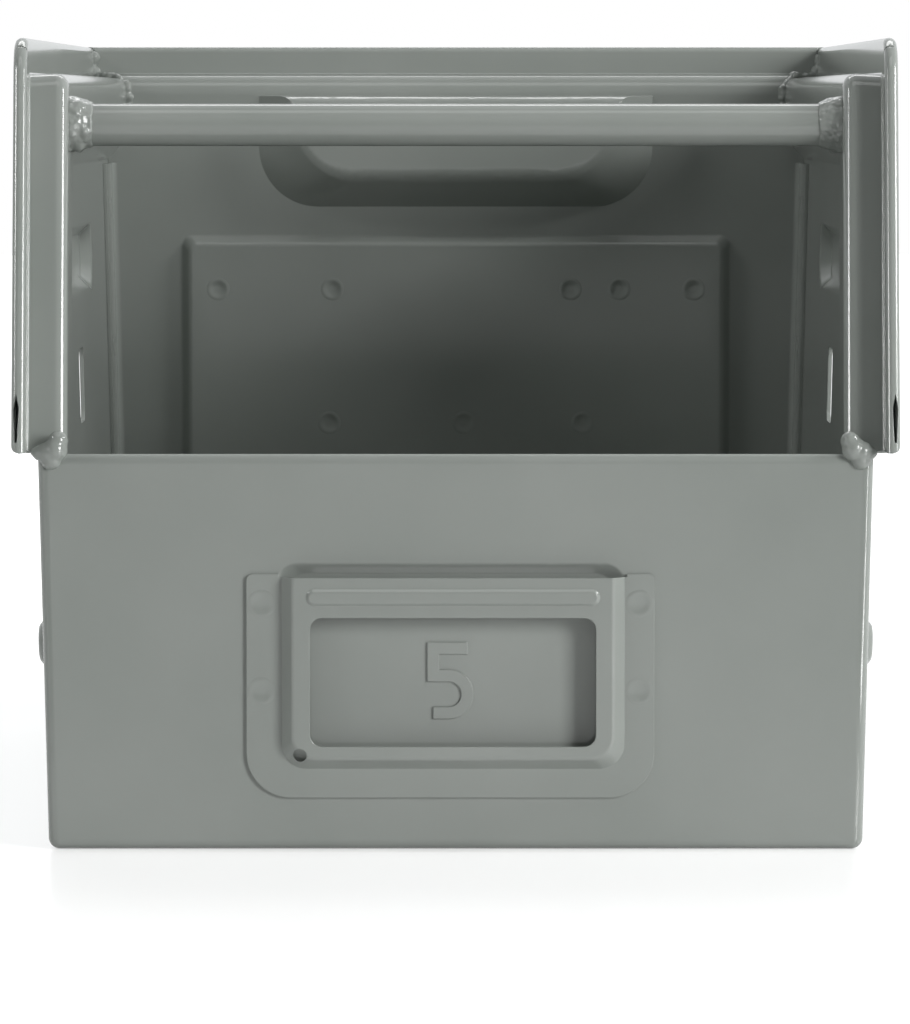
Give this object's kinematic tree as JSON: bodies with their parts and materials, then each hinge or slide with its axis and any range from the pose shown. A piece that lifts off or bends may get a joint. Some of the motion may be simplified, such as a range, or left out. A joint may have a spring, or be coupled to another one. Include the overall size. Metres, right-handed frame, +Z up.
{
  "type": "open-fronted stacking bin",
  "caption": "Open-fronted stacking bin of welded painted sheet steel with a stacking rim, a carrying bar and a label holder on the front.",
  "frame": {"origin": "centre of the overall length and width, at the level the bin rests on", "axes": "+Z up, -Y toward the open front, +X to the right of someone facing the front"},
  "size_m": [0.2038, 0.3572, 0.1834],
  "materials": {
    "bin_paint": "semi-gloss grey-green stoving enamel",
    "bar_paint": "semi-gloss grey-green stoving enamel on round bar",
    "weld_paint": "glossy grey-green stoving enamel over weld metal"
  },
  "bodies": {
    "root": {"floor_pan": "bin_paint", "front_wall": "bin_paint", "left_side_wall": "bin_paint", "right_side_wall": "bin_paint", "rear_wall": "bin_paint", "rear_stiffening_plate": "bin_paint", "carrying_bar": "bar_paint", "label_holder": "bin_paint", "left_bar_weld": "weld_paint", "right_bar_weld": "weld_paint", "left_front_corner_weld": "weld_paint", "right_front_corner_weld": "weld_paint", "left_rear_corner_weld": "weld_paint", "right_rear_corner_weld": "weld_paint", "floor_side_spot_welds": "weld_paint", "floor_front_spot_welds": "weld_paint", "floor_rear_spot_welds": "weld_paint", "front_seam_spot_welds": "weld_paint", "rear_seam_spot_welds": "weld_paint", "label_holder_spot_welds": "weld_paint", "rear_plate_spot_welds": "weld_paint"}
  },
  "joints": []
}
